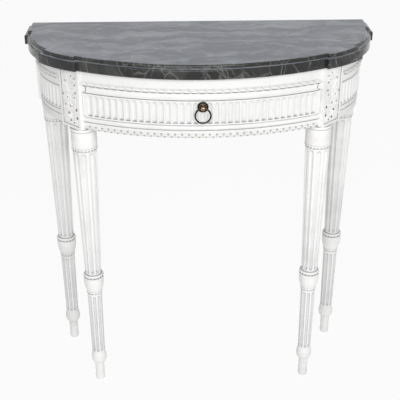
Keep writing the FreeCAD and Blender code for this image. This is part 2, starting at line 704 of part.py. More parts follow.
def drawer_back():
    """The back board, standing on the bottom between the sides."""
    half = DRAWER_HALF - DRAWER_SIDE_THICKNESS
    low = DRAWER_LOW + DRAWER_BOTTOM_RISE + DRAWER_BOTTOM_THICKNESS
    board = block(-half, half, DRAWER_BACK_Y - DRAWER_BACK_THICKNESS, DRAWER_BACK_Y, low, DRAWER_HIGH)
    return board.cut(nail_shapes(FASTENER_GAP))


def nail_shapes(grow=0.0):
    """The nails that hold the bottom to the back board, from below."""
    y = DRAWER_BACK_Y - DRAWER_BACK_THICKNESS / 2
    low = DRAWER_LOW + DRAWER_BOTTOM_RISE
    spacing = NAIL_SHARE * (DRAWER_HALF - DRAWER_SIDE_THICKNESS)
    nails = []
    for x in (-spacing, 0.0, spacing):
        nails.append(pin(Vector(x, y, low), UP, NAIL_LENGTH + grow, NAIL_RADIUS + grow,
                         NAIL_HEAD_RADIUS + grow, NAIL_HEAD_HEIGHT))
    return nails


# Drawer track

RUNNER_LOW = RUNNER_TOP - RUNNER_HEIGHT
RUNNER_FRONT_RADIUS = APRON_RADIUS - FRONT_RAIL_THICKNESS


def track_bar(low, high):
    """A right-hand bar from the front rail's curved back face to the back rail."""
    bar = block(RUNNER_X0, RUNNER_X1, APRON_FRONT_Y, RAIL_FRONT_Y, low, high)
    inside = Part.makeCylinder(RUNNER_FRONT_RADIUS - JOINT_GAP, LONG_REACH, APRON_CENTRE, UP)
    return largest(bar.common(inside))


def track_stub(low, high, grow):
    """The stub tenon at a track bar's front end, in the front rail."""
    x0 = RUNNER_X0 + STUB_MARGIN - grow
    x1 = RUNNER_X1 - STUB_MARGIN + grow
    bar = block(x0, x1, APRON_FRONT_Y, RAIL_FRONT_Y, low + STUB_MARGIN - grow, high - STUB_MARGIN + grow)
    outer = Part.makeCylinder(RUNNER_FRONT_RADIUS + STUB_LENGTH + grow, LONG_REACH, APRON_CENTRE, UP)
    inner = Part.makeCylinder(RUNNER_FRONT_RADIUS - STUB_LENGTH, LONG_REACH, APRON_CENTRE, UP)
    return bar.common(outer).cut(inner)


def runner_stub(grow=0.0):
    return track_stub(RUNNER_LOW, RUNNER_TOP - RUN_GAP, grow)


def kicker_stub(grow=0.0):
    return track_stub(OPENING_TOP, OPENING_TOP + KICKER_HEIGHT, grow)


def drawer_runner():
    """The right-hand bar that carries the drawer's side."""
    bar = track_bar(RUNNER_LOW, RUNNER_TOP).fuse(runner_stub()).removeSplitter()
    return largest(bar.cut(screw_shapes(FASTENER_GAP)))


def drawer_kicker():
    """The right-hand bar over the drawer's side, which keeps the open drawer from tipping."""
    bar = track_bar(OPENING_TOP, OPENING_TOP + KICKER_HEIGHT).fuse(kicker_stub()).removeSplitter()
    return largest(bar.cut(screw_shapes(FASTENER_GAP)))


def drawer_guide():
    """The right-hand strip on the runner that keeps the drawer straight."""
    return block(DRAWER_HALF + GUIDE_GAP, RUNNER_X1, FRONT_LEG_Y, RAIL_FRONT_Y,
                 RUNNER_TOP, RUNNER_TOP + GUIDE_HEIGHT)


def drawer_stop():
    """The right-hand block on the back rail that the closed drawer meets."""
    middle = (DRAWER_LOW + DRAWER_HIGH) / 2
    start = STOP_SHARE * DRAWER_HALF
    return block(start, start + STOP_WIDTH, DRAWER_BACK_Y + STOP_GAP, RAIL_FRONT_Y,
                 middle - STOP_HEIGHT / 2, middle + STOP_HEIGHT / 2)


def screw_shapes(grow=0.0):
    """The screws that hold the runners and kickers, through the back rail from behind."""
    x = (RUNNER_X0 + RUNNER_X1) / 2
    levels = ((RUNNER_LOW + RUNNER_TOP) / 2, OPENING_TOP + KICKER_HEIGHT / 2)
    screws = []
    for z in levels:
        for side in (-1, 1):
            screws.append(pin(Vector(side * x, RAIL_BACK_Y, z), FORWARD, SCREW_LENGTH + grow,
                              SCREW_RADIUS + grow, SCREW_HEAD_RADIUS + grow, SCREW_HEAD_HEIGHT))
    return screws


# Ring pull

EYE_Y = APRON_FRONT_Y - ROSETTE_HEIGHT - PULL_EYE_RADIUS
INSIDE_Y = APRON_FRONT_Y + DRAWER_FRONT_THICKNESS + FASTENER_GAP


def bolt_bore():
    """The pull's clearance hole, from in front of the drawer to inside it."""
    return Part.makeCylinder(PULL_SHANK_RADIUS + FASTENER_GAP, LONG_REACH, Vector(0, BACK_Y, PULL_Z), FORWARD)


def pull_rosette():
    """A domed round plate with a rolled rim and a hole for the bolt."""
    hole = PULL_SHANK_RADIUS + FASTENER_GAP
    dome = ROSETTE_RADIUS - ROSETTE_RIM
    points = [(hole, 0), (ROSETTE_RADIUS, 0), (ROSETTE_RADIUS, ROSETTE_EDGE)]
    points.append((ROSETTE_RADIUS - ROSETTE_RIM / 2, ROSETTE_EDGE + ROSETTE_RIM / 2, dome, ROSETTE_EDGE))
    points.append(((dome + hole) / 2 + ROSETTE_SWELL, ROSETTE_HEIGHT - ROSETTE_SWELL, hole, ROSETTE_HEIGHT))
    return across(points, PULL_Z)


def pull_eye_bolt():
    """A ball with a cross hole for the ring, on a shank through the drawer front."""
    tail = INSIDE_Y + WASHER_THICKNESS + NUT_THICKNESS + BOLT_TAIL
    eye = Vector(0, EYE_Y, PULL_Z)
    ball = Part.makeSphere(PULL_EYE_RADIUS, eye)
    shank = Part.makeCylinder(PULL_SHANK_RADIUS, tail - EYE_Y, Vector(0, tail, PULL_Z), FORWARD)
    across_eye = Vector(2 * PULL_EYE_RADIUS, 0, 0)
    hole = Part.makeCylinder(PULL_EYE_HOLE, 2 * across_eye.Length, eye - across_eye, across_eye)
    return ball.fuse(shank).removeSplitter().cut(hole)


def pull_washer():
    """The washer inside the drawer."""
    end = Vector(0, INSIDE_Y + WASHER_THICKNESS, PULL_Z)
    return Part.makeCylinder(WASHER_RADIUS, WASHER_THICKNESS, end, FORWARD).cut(bolt_bore())


def pull_nut():
    """The square nut inside the drawer."""
    start = INSIDE_Y + WASHER_THICKNESS
    half = NUT_WIDTH / 2
    nut = block(-half, half, start, start + NUT_THICKNESS, PULL_Z - half, PULL_Z + half)
    return nut.cut(bolt_bore())


def pull_ring():
    """The ring, hanging in the eye."""
    centre = Vector(0, EYE_Y, PULL_Z - PULL_RING_RADIUS)
    return Part.makeTorus(PULL_RING_RADIUS, PULL_WIRE_RADIUS, centre, FORWARD)


def build():
    """Every piece by name. A right-hand piece that has a twin is mirrored for the left."""
    nodes = {"marble_top": marble_top()}

    def pair(name, shape):
        nodes[name + "_right"] = shape
        nodes[name + "_left"] = mirrored(shape)

    turning = leg_turning()
    front_mortises = [
        front_tenon(OPENING_TOP, WOOD_TOP, JOINT_GAP),
        front_tenon(APRON_BOTTOM, OPENING_BOTTOM, JOINT_GAP),
        carved_panel_recess(),
    ]
    pair("leg_front", leg(turning, FRONT_LEG, FRONT_LEG_TURN, front_mortises + side_tenons(JOINT_GAP)))
    pair("leg_back", leg(turning, BACK_LEG, 0.0, side_tenons(JOINT_GAP) + [back_tenon(JOINT_GAP)]))

    nodes["front_top_rail"] = front_top_rail()
    nodes["front_bottom_rail"] = front_bottom_rail()
    nodes["back_rail"] = back_rail()
    pair("side_rail", side_rail())
    nodes["front_ribbon_moulding"] = front_ribbon_moulding()
    nodes["front_leaf_moulding"] = front_leaf_moulding()
    pair("side_ribbon_moulding", side_ribbon_moulding())
    pair("corner_return", corner_return())

    nodes["drawer_front"] = drawer_front()
    pair("drawer_side", drawer_side())
    nodes["drawer_back"] = drawer_back()
    nodes["drawer_bottom"] = drawer_bottom().cut(nail_shapes(FASTENER_GAP))
    nodes["drawer_bottom_nails"] = Part.makeCompound(nail_shapes())
    pair("drawer_runner", drawer_runner())
    pair("drawer_guide", drawer_guide())
    pair("drawer_kicker", drawer_kicker())
    pair("drawer_stop", drawer_stop())
    nodes["track_screws"] = Part.makeCompound(screw_shapes())

    nodes["pull_rosette"] = pull_rosette()
    nodes["pull_eye_bolt"] = pull_eye_bolt()
    nodes["pull_washer"] = pull_washer()
    nodes["pull_nut"] = pull_nut()
    nodes["pull_ring"] = pull_ring()
    return nodes


os.makedirs("parts", exist_ok=True)
for name, shape in build().items():
    shape.exportStep("parts/" + name + ".step")
    print(name, "solids", len(shape.Solids), "valid", shape.isValid(), "volume", round(shape.Volume))
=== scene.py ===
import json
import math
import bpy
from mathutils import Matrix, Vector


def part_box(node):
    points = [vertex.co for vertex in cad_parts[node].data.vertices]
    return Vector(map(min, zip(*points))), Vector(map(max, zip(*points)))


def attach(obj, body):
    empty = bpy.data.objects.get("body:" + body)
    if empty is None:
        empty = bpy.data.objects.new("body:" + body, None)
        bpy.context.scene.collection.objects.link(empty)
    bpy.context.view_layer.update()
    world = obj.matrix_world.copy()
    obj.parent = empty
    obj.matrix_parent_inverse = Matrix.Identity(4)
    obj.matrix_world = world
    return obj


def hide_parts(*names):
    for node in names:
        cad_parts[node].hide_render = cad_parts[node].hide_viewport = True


bl_info = {
    "name": "Demilune console table",
    "version": (1, 0, 0),
    "blender": (4, 5, 0),
    "location": "3D View > Sidebar > Console table",
    "description": "Carving, finishes, light and camera of a half-moon console table",
    "category": "Object",
}

import bmesh
import bpy
from mathutils import Matrix, Vector

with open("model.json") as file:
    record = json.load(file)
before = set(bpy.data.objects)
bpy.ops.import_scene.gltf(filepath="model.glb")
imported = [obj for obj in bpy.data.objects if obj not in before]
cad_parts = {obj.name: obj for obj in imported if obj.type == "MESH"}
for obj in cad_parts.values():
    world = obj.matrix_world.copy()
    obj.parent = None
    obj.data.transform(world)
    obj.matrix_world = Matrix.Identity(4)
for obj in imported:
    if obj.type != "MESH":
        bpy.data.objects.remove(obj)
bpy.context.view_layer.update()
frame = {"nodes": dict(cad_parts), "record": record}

MM = 0.001

# Places on the table that the carving follows
APRON_CENTRE = Vector((0.0, 0.403, 0.0))
APRON_RADIUS = 0.540
SIDE_CENTRE = Vector((0.15807, 0.090, 0.0))
SIDE_RADIUS = 0.18093
SIDE_START = math.radians(42.0)
SIDE_END = math.radians(90.0)
PANEL_LEVEL = 0.711
PANEL_DEPTH = 0.0272
PANEL_TURN = math.radians(45.0)
PANEL_WIDTH = 56.0 * MM
PANEL_HEIGHT = 122.0 * MM
LEGS = ("leg_front_left", "leg_front_right", "leg_back_left", "leg_back_right")
SIDES = (("right", 1), ("left", -1))

# Carved units
SMOOTH_ANGLE = math.radians(40.0)
RIBBON_SIDES = 16
RIBBON_THICKNESS = 4.4 * MM
RIBBON_CHAMFER = 0.7 * MM
RIBBON_END = 0.84
RIBBON_PROUD = 0.4 * MM
# The dash is a painted shadow under each turn of the ribbon
DASH_SHARE = 0.66
DASH_DEPTH = 3.4 * MM
DASH_HEIGHT = 1.5 * MM
DASH_BEVEL = 0.5 * MM
DASH_PROUD = 2.0 * MM
DASH_RISE = 0.9 * MM
LEAF_PROUD = 0.2 * MM
BACKING_OVERLAP = 1.01
BACKING_THICKNESS = 2.6 * MM
BACKING_BEVEL = 1.0 * MM
CORNER_PROUD = 0.9 * MM
CORNER_DROP = 2.0 * MM
NOTCH_PROUD = 2.3 * MM
NOTCH_RISE = 2.2 * MM
BEAD_LEVELS_AND_RADII = ((597.0 * MM, 23.7 * MM), (289.0 * MM, 19.3 * MM), (246.0 * MM, 14.4 * MM))
BEAD_SPACING = 2.02
BEAD_STRETCH = (0.92, 1.0, 1.06)
GAP_RADIUS = 1.25 * MM
GAP_PROUD = 2.1 * MM
GAP_DROP = 1.0 * MM
HOLE_RADIUS = 1.8 * MM
HOLE_DEPTH = 4.4 * MM
HOLE_PROUD = 0.4 * MM
HOLE_STRETCH = 1.15
HOLE_RIM = 0.10
HOLE_TAPER = 0.12
HOLE_BORE = 0.8
STEM_DROP = 52.0 * MM
PETAL_RING = 4.0 * MM
PETAL_SINK = 2.4 * MM

# How far each paint looks for hollows, which it greys with painted shade and fills with glaze
FLUTE_REACH = 6.0 * MM
LEAF_REACH = 3.0 * MM
CARVING_REACH = 2.5 * MM

# Stage
WHITE = (1.0, 1.0, 1.0, 1.0)
FLOOR_SIZE = 14.0
LIGHT_AIM = Vector((0, 0, 0.6))
LEFT_LIGHT_PLACE = (-0.75, -2.80, 2.20)
RIGHT_LIGHT_PLACE = (1.40, -2.60, 2.20)
MIDDLE_LIGHT_PLACE = (0.10, -2.80, 1.75)
CAMERA_PLACE = (-0.04978, -1.66543, 1.31506)
CAMERA_YAW = 0.0287
CAMERA_PITCH = 0.4819
CAMERA_ROLL = 0.002
SENSOR_WIDTH = 36.0


class CarvingSizes(bpy.types.PropertyGroup):
    """Sizes of the carved work."""

    ribbon_pitch: bpy.props.FloatProperty(
        name="Ribbon pitch", description="Length of one turn of the carved ribbon",
        default=0.0155, min=0.005, unit="LENGTH")
    ribbon_slant: bpy.props.FloatProperty(
        name="Ribbon slant", description="How far a turn of the ribbon leans over its height",
        default=0.0062, min=0.0, unit="LENGTH")
    leaf_pitch: bpy.props.FloatProperty(
        name="Leaf pitch", description="Distance from one leaf of the lower moulding to the next",
        default=0.0134, min=0.005, unit="LENGTH")
    bead_radius: bpy.props.FloatProperty(
        name="Bead radius", description="Radius of a bead in the rows round the legs",
        default=0.0033, min=0.001, unit="LENGTH")
    petal_count: bpy.props.IntProperty(
        name="Petals", description="Number of petals on the pull's rosette", default=10, min=3)


class FinishColours(bpy.types.PropertyGroup):
    """Colours of the finishes."""

    paint: bpy.props.FloatVectorProperty(
        name="Paint", description="White paint on the open faces", subtype="COLOR",
        default=(0.86, 0.865, 0.855), min=0.0, max=1.0)
    paint_shade: bpy.props.FloatVectorProperty(
        name="Aged paint", description="Paint where it has greyed a little", subtype="COLOR",
        default=(0.80, 0.80, 0.79), min=0.0, max=1.0)
    # Painted light: a paler copy of the white paint, so that the carving, the beads and the legs, which
    # the light reaches less, come out as bright as the front.
    painted_light_white: bpy.props.FloatVectorProperty(
        name="Carved paint", description="Cleaner white on the raised carving", subtype="COLOR",
        default=(0.95, 0.95, 0.94), min=0.0, max=1.0)
    # Painted shade: this grey stands for the shade in the hollows of the flutes and between the carved
    # leaves, not for a paint of its own.
    painted_hollow_shade: bpy.props.FloatVectorProperty(
        name="Greyed hollows", description="Paint in the shallow hollows of the flutes",
        subtype="COLOR", default=(0.47, 0.485, 0.49), min=0.0, max=1.0)
    # The glaze and the ochre also make the painted shade in the drilled eyes, under the ribbon and
    # between the beads, besides the real glaze in the grooves.
    glaze: bpy.props.FloatVectorProperty(
        name="Glaze", description="Warm grey glaze left in the carving and the grooves",
        subtype="COLOR", default=(0.20, 0.19, 0.17), min=0.0, max=1.0)
    ochre: bpy.props.FloatVectorProperty(
        name="Ochre glaze", description="Browner glaze in a few places of the grooves",
        subtype="COLOR", default=(0.33, 0.22, 0.10), min=0.0, max=1.0)
    bare_wood: bpy.props.FloatVectorProperty(
        name="Rubbed wood", description="Wood that shows where the paint is rubbed through",
        subtype="COLOR", default=(0.44, 0.33, 0.19), min=0.0, max=1.0)
    marble: bpy.props.FloatVectorProperty(
        name="Marble", description="Ground of the marble", subtype="COLOR",
        default=(0.009, 0.0095, 0.0095), min=0.0, max=1.0)
    marble_cloud: bpy.props.FloatVectorProperty(
        name="Marble cloud", description="Paler clouds in the marble", subtype="COLOR",
        default=(0.040, 0.043, 0.038), min=0.0, max=1.0)
    # Painted reflection: the paler colours of the flat of the top stand for the bright room reflected in
    # the polished marble.
    marble_top: bpy.props.FloatVectorProperty(
        name="Marble top", description="Dull bloom on the flat of the top", subtype="COLOR",
        default=(0.142, 0.154, 0.184), min=0.0, max=1.0)
    top_reflection_streak: bpy.props.FloatVectorProperty(
        name="Marble streak", description="Paler streaks along the flat of the top", subtype="COLOR",
        default=(0.345, 0.362, 0.398), min=0.0, max=1.0)
    vein: bpy.props.FloatVectorProperty(
        name="Vein", description="Pale veins in the marble", subtype="COLOR",
        default=(0.36, 0.37, 0.32), min=0.0, max=1.0)
    bronze: bpy.props.FloatVectorProperty(
        name="Bronze", description="Dark bronze of the pull", subtype="COLOR",
        default=(0.050, 0.042, 0.032), min=0.0, max=1.0)
    bronze_worn: bpy.props.FloatVectorProperty(
        name="Rubbed bronze", description="Bronze on the handled high places", subtype="COLOR",
        default=(0.42, 0.29, 0.15), min=0.0, max=1.0)
    wood: bpy.props.FloatVectorProperty(
        name="Plain wood", description="Bare wood inside and at the back", subtype="COLOR",
        default=(0.40, 0.28, 0.165), min=0.0, max=1.0)
    wood_grain: bpy.props.FloatVectorProperty(
        name="Wood grain", description="Darker grain of the bare wood", subtype="COLOR",
        default=(0.22, 0.14, 0.075), min=0.0, max=1.0)
    iron: bpy.props.FloatVectorProperty(
        name="Iron", description="Nails, screws, washer and nut", subtype="COLOR",
        default=(0.16, 0.15, 0.14), min=0.0, max=1.0)
    dust: bpy.props.FloatVectorProperty(
        name="Dust", description="Dust in the corners of the bare wood", subtype="COLOR",
        default=(0.10, 0.075, 0.05), min=0.0, max=1.0)
    rust: bpy.props.FloatVectorProperty(
        name="Rust", description="Rust on the iron", subtype="COLOR",
        default=(0.14, 0.075, 0.04), min=0.0, max=1.0)


class StageSettings(bpy.types.PropertyGroup):
    """Light and camera."""

    left_power: bpy.props.FloatProperty(
        name="Left light", description="Power of the soft light in front on the left",
        default=20.5, min=0.0, unit="POWER")
    right_power: bpy.props.FloatProperty(
        name="Right light", description="Power of the soft light in front on the right",
        default=24.5, min=0.0, unit="POWER")
    middle_power: bpy.props.FloatProperty(
        name="Middle light", description="Power of the soft light straight in front",
        default=24.0, min=0.0, unit="POWER")
    lamp_width: bpy.props.FloatProperty(
        name="Lamp width", description="Width of each soft light",
        default=1.3, min=0.05, unit="LENGTH")
    lamp_height: bpy.props.FloatProperty(
        name="Lamp height", description="Height of each soft light",
        default=0.35, min=0.05, unit="LENGTH")
    sky_level: bpy.props.FloatProperty(
        name="Sky level", description="Strength of the even light all round", default=0.34, min=0.0)
    floor_colour: bpy.props.FloatVectorProperty(
        name="Floor", description="Colour of the floor", subtype="COLOR",
        default=(0.80, 0.80, 0.80), min=0.0, max=1.0)
    floor_white: bpy.props.FloatProperty(
        name="White floor", description="Share of plain white that the camera sees on the floor",
        default=0.93, min=0.0, max=1.0, subtype="FACTOR")
    floor_glow: bpy.props.FloatProperty(
        name="Floor glow", description="Share of plain white with which the floor lights the table",
        default=0.38, min=0.0, max=1.0, subtype="FACTOR")
    lens: bpy.props.FloatProperty(
        name="Lens", description="Focal length in millimetres", default=77.238, min=1.0)


class Wire:
    """A shader socket that takes part in sums."""

    def __init__(self, finish, socket):
        self.finish = finish
        self.socket = socket

    def sum_with(self, operation, first, second):
        return self.finish.node("ShaderNodeMath", {"operation": operation}, {0: first, 1: second})

    def __add__(self, other):
        return self.sum_with("ADD", self, other)

    def __radd__(self, other):
        return self.sum_with("ADD", other, self)

    def __sub__(self, other):
        return self.sum_with("SUBTRACT", self, other)

    def __rsub__(self, other):
        return self.sum_with("SUBTRACT", other, self)

    def __mul__(self, other):
        return self.sum_with("MULTIPLY", self, other)

    def __rmul__(self, other):
        return self.sum_with("MULTIPLY", other, self)


class Finish:
    """One material, or the sky, built up from nodes and sums."""

    def __init__(self, name=None, tree=None):
        self.material = None
        self.tree = tree
        if tree is None:
            self.material = bpy.data.materials.new(name)
            self.material.use_nodes = True
            self.tree = self.material.node_tree
        self.tree.nodes.clear()

    def node(self, kind, settings=None, sockets=None, output=0):
        """Adds a node: its settings first, then its sockets' values or links. Gives one output."""
        made = self.tree.nodes.new(kind)
        for name, value in (settings or {}).items():
            setattr(made, name, value)
        for name, value in (sockets or {}).items():
            if isinstance(value, Wire):
                self.tree.links.new(value.socket, made.inputs[name])
            else:
                made.inputs[name].default_value = value
        return Wire(self, made.outputs[output]) if made.outputs else made

    def place(self):
        """Coordinates on the piece, in metres."""
        return self.node("ShaderNodeTexCoord", output="Object")

    def noise(self, vector, scale, detail=3.0, roughness=0.55, distortion=0.0):
        """Soft uneven values from 0 to 1."""
        return self.node("ShaderNodeTexNoise", sockets={
            "Vector": vector, "Scale": scale, "Detail": detail, "Roughness": roughness,
            "Distortion": distortion})

    def ramp(self, value, low, high):
        """0 below low, 1 above high and smooth between."""
        return self.node("ShaderNodeMapRange", {"interpolation_type": "SMOOTHSTEP"},
                         {"Value": value, "From Min": low, "From Max": high})

    def blend(self, share, first, second):
        """A colour between two colours."""
        return self.node("ShaderNodeMix", {"data_type": "RGBA"}, {0: share, 6: first, 7: second}, 2)

    def stretched(self, vector, scale, turn=(0.0, 0.0, 0.0)):
        """Coordinates that are scaled and turned."""
        return self.node("ShaderNodeMapping", sockets={
            "Vector": vector, "Scale": scale, "Rotation": turn})

    def hollow(self, distance, inside=False):
        """1 in a piece's own tight hollows, or at its edges when looking inside, and 0 on open faces."""
        open_share = self.node("ShaderNodeAmbientOcclusion",
                               {"samples": 12, "inside": inside, "only_local": True},
                               {"Distance": distance}, "AO")
        return 1.0 - open_share

    def seen_directly(self):
        """1 for what is seen straight, in a mirror or through glass, and 0 for light on the object."""
        rays = [self.node("ShaderNodeLightPath", output="Is " + kind + " Ray")
                for kind in ("Camera", "Glossy", "Transmission")]
        return rays[0] + rays[1] + rays[2]

    def bump(self, height, distance, strength):
        """Small unevenness of the surface."""
        return self.node("ShaderNodeBump", sockets={
            "Height": height, "Distance": distance, "Strength": strength})

    def shader(self, **sockets):
        """The main shader, with its sockets' spaces written as underscores."""
        names = {name.replace("_", " "): value for name, value in sockets.items()}
        return self.node("ShaderNodeBsdfPrincipled", sockets=names)

    def closed(self, shader):
        """Ends the material in a shader."""
        self.node("ShaderNodeOutputMaterial", sockets={"Surface": shader})
        return self.material

    def surface(self, **sockets):
        """Ends the material in the main shader."""
        return self.closed(self.shader(**sockets))


def opaque(colour):
    """A colour property as a socket's colour."""
    return (colour[0], colour[1], colour[2], 1.0)


def antique_paint(colours, name, ground, reach, shade_share, glaze_share, glaze_start=0.42):
    """White paint, greyed in clouds, with painted shade and glaze in the hollows and rubbed edges."""
    finish = Finish(name)
    place = finish.place()
    cloud = finish.noise(place, 11.0, 4.0, 0.6)
    speck = finish.noise(place, 160.0, 3.0, 0.6)
    patch = finish.noise(place, 38.0, 3.0, 0.65)
    hollow = finish.hollow(reach)
    edge = finish.hollow(0.9 * MM, inside=True)
    paint = finish.blend(finish.ramp(cloud, 0.42, 0.72), opaque(ground), opaque(colours.paint_shade))
    # Painted shade: the piece's own hollows are greyed, as if less light fell into them.
    hollow_shade = finish.ramp(hollow, 0.05, 0.34) * shade_share
    shaded_paint = finish.blend(hollow_shade, paint, opaque(colours.painted_hollow_shade))
    tone = finish.blend(finish.ramp(patch, 0.52, 0.60), opaque(colours.glaze), opaque(colours.ochre))
    broken = hollow + (patch - 0.5) * 0.5 + (speck - 0.5) * 0.9
    glaze = finish.ramp(broken, glaze_start, glaze_start + 0.43) * glaze_share
    aged = finish.blend(glaze, shaded_paint, tone)
    rubbed = finish.ramp(edge * 0.8 + patch * 0.8 + speck * 0.35, 1.12, 1.30)
    worn = finish.ramp(patch + (speck - 0.5) * 0.2, 0.745, 0.79)
    wear = finish.ramp(rubbed * 0.35 + worn * 0.5, 0.0, 1.0)
    colour = finish.blend(wear, aged, opaque(colours.bare_wood))
    brushed = finish.noise(finish.stretched(place, (90.0, 90.0, 420.0)), 1.0, 2.0)
    return finish.surface(
        Base_Color=colour,
        Roughness=0.42 + glaze * 0.25 + (cloud - 0.5) * 0.15,
        Normal=finish.bump(brushed * 0.4 + speck * 0.6, 0.25 * MM, 0.35))


def shade_material(colours, name, shade_base, level, warmth):
    """Painted shade for a bore, a hollow or a gap in the carving: a dark colour dimmed to a level.
    Warmth 1 is brown all over.
    """
    finish = Finish(name)
    speck = finish.noise(finish.place(), 300.0)
    dark = tuple(level * part for part in shade_base)
    colour = finish.blend(finish.ramp(speck, 0.45, 0.75) * warmth, opaque(dark), opaque(colours.ochre))
    return finish.surface(Base_Color=colour, Roughness=0.9)


def dark_marble(colours):
    """Polished charcoal marble with clouds and three sizes of pale veins, and a painted reflection with
    paler streaks on the flat of the top.
    """
    finish = Finish("veined_marble")
    place = finish.place()
    drift = finish.node("ShaderNodeTexNoise", sockets={
        "Vector": place, "Scale": 6.0, "Detail": 5.0, "Roughness": 0.6}, output="Color")
    warped = finish.node("ShaderNodeMix", {"data_type": "VECTOR"}, {0: 0.14, 4: place, 5: drift}, 1)
    bent = finish.node("ShaderNodeMix", {"data_type": "VECTOR"}, {0: 0.045, 4: place, 5: drift}, 1)
    slanted = finish.stretched(bent, (1.0, 1.0, 0.7), (0.3, 0.6, 0.2))

    def veins(scale, width, spread_scale, low, high):
        """Fine lines round the grains of one size, in some regions only."""
        line = finish.node("ShaderNodeTexVoronoi", {"feature": "DISTANCE_TO_EDGE"},
                           {"Vector": slanted, "Scale": scale})
        region = finish.ramp(finish.noise(place, spread_scale, 2.0), low, high)
        return (1.0 - finish.ramp(line, 0.0, width)) * region

    cloud = finish.noise(warped, 16.0, 5.0, 0.62)
    blotch = finish.noise(place, 9.0, 3.0, 0.6)
    along_top = finish.stretched(warped, (4.5, 38.0, 38.0), (0.0, 0.0, 0.06))
    streak = finish.noise(along_top, 1.0, 5.0, 0.60)
    large_veins = veins(13.0, 0.014, 8.0, 0.38, 0.54) * 0.38
    middle_veins = veins(29.0, 0.028, 13.0, 0.42, 0.58) * 0.30
    small_veins = veins(60.0, 0.060, 22.0, 0.52, 0.64) * 0.28
    pale = finish.ramp(cloud + (blotch - 0.5) * 0.8, 0.46, 0.74)
    ground = finish.blend(pale, opaque(colours.marble), opaque(colours.marble_cloud))
    # Painted reflection: faces that look up, the flat of the top and the small ledge on the edge, are
    # painted paler with streaks, as the bright room reflects in the polished stone.
    upward = finish.node("ShaderNodeSeparateXYZ", sockets={
        "Vector": finish.node("ShaderNodeTexCoord", output="Normal")}, output="Z")
    flat = finish.ramp(upward, 0.90, 0.995)
    painted_top_reflection = finish.blend(finish.ramp(streak + (blotch - 0.5) * 0.35, 0.36, 0.70),
                         opaque(colours.marble_top), opaque(colours.top_reflection_streak))
    dust_and_sheen = finish.blend(flat, ground, painted_top_reflection)
    all_veins = (large_veins + middle_veins + small_veins) * (1.0 - flat * 0.6)
    veined = finish.blend(all_veins, dust_and_sheen, opaque(colours.vein))
    rounded = finish.node("ShaderNodeBevel", {"samples": 8}, {"Radius": 4.5 * MM})
    return finish.surface(
        Base_Color=veined,
        Roughness=0.14 + flat * 0.22 + streak * flat * 0.1,
        Coat_Weight=0.30 - flat * 0.12,
        Coat_Roughness=0.05,
        Specular_IOR_Level=0.32,
        Normal=rounded)


def dark_bronze(colours, name, start):
    """Dark polished bronze, rubbed brighter on the high places. A lower start spreads the rubbing."""
    finish = Finish(name)
    place = finish.place()
    edge = finish.hollow(1.0 * MM, inside=True)
    patina = finish.noise(place, 240.0, 4.0, 0.6)
    rubbed = finish.ramp(edge + (patina - 0.5) * 0.7, start, start + 0.4)
    colour = finish.blend(rubbed, opaque(colours.bronze), opaque(colours.bronze_worn))
    return finish.surface(
        Base_Color=colour,
        Metallic=1.0,
        Roughness=0.10 + patina * 0.14,
        Normal=finish.bump(patina, 0.08 * MM, 0.25))


def plain_wood(colours):
    """Bare aged wood with long grain."""
    finish = Finish("bare_wood")
    place = finish.place()
    warp = finish.noise(place, 5.0, 3.0)
    lines = finish.noise(finish.stretched(place, (6.0, 60.0, 260.0)), 1.0, 5.0, 0.6, 0.8)
    pores = finish.noise(finish.stretched(place, (40.0, 300.0, 900.0)), 1.0, 2.0)
    hollow = finish.hollow(20.0 * MM)
    grain = finish.ramp(lines + (warp - 0.5) * 0.4, 0.38, 0.70)
    colour = finish.blend(grain, opaque(colours.wood), opaque(colours.wood_grain))
    dust_and_sheen = finish.blend(finish.ramp(hollow, 0.35, 1.0) * 0.6, colour, opaque(colours.dust))
    return finish.surface(
        Base_Color=dust_and_sheen,
        Roughness=0.62 + pores * 0.2,
        Normal=finish.bump(lines * 0.6 + pores * 0.4, 0.3 * MM, 0.4))


def dull_iron(colours):
    """Dull iron with a little rust."""
    finish = Finish("dull_iron")
    speck = finish.noise(finish.place(), 320.0, 4.0, 0.65)
    rust = finish.ramp(speck, 0.52, 0.70)
    colour = finish.blend(rust, opaque(colours.iron), opaque(colours.rust))
    return finish.surface(Base_Color=colour, Metallic=1.0 - rust, Roughness=0.45 + rust * 0.35)


def pale_floor(settings):
    """A pale floor that is nearly white to the camera and still takes the table's shadow."""
    finish = Finish("pale_floor")
    mottle = finish.noise(finish.place(), 2.0, 2.0)
    shade = tuple(part * 0.99 for part in settings.floor_colour)
    plain = finish.shader(
        Base_Color=finish.blend(mottle, opaque(settings.floor_colour), opaque(shade)),
        Roughness=0.9, Specular_IOR_Level=0.0)
    white = finish.node("ShaderNodeEmission", sockets={"Color": WHITE, "Strength": 1.0})
    seen = finish.seen_directly()
    share = settings.floor_glow + seen * (settings.floor_white - settings.floor_glow)
    return finish.closed(finish.node("ShaderNodeMixShader", sockets={0: share, 1: plain, 2: white}))


def edit(piece):
    """Opens one piece in edit mode."""
    bpy.ops.object.select_all(action="DESELECT")
    bpy.context.view_layer.objects.active = piece
    piece.select_set(True)
    bpy.ops.object.mode_set(mode="EDIT")
    bpy.ops.mesh.select_mode(type="VERT")


def done():
    """Leaves edit mode."""
    bpy.ops.object.mode_set(mode="OBJECT")


def pick(piece, wanted):
    """Selects the points of the open piece whose places pass a test."""
    bpy.ops.mesh.select_all(action="DESELECT")
    mesh = bmesh.from_edit_mesh(piece.data)
    for point in mesh.verts:
        point.select_set(wanted(point.co))
    mesh.select_flush_mode()
    bmesh.update_edit_mesh(piece.data)


def painted(piece, *materials):
    """Gives a piece its materials."""
    piece.data.materials.clear()
    for material in materials:
        piece.data.materials.append(material)
    return piece


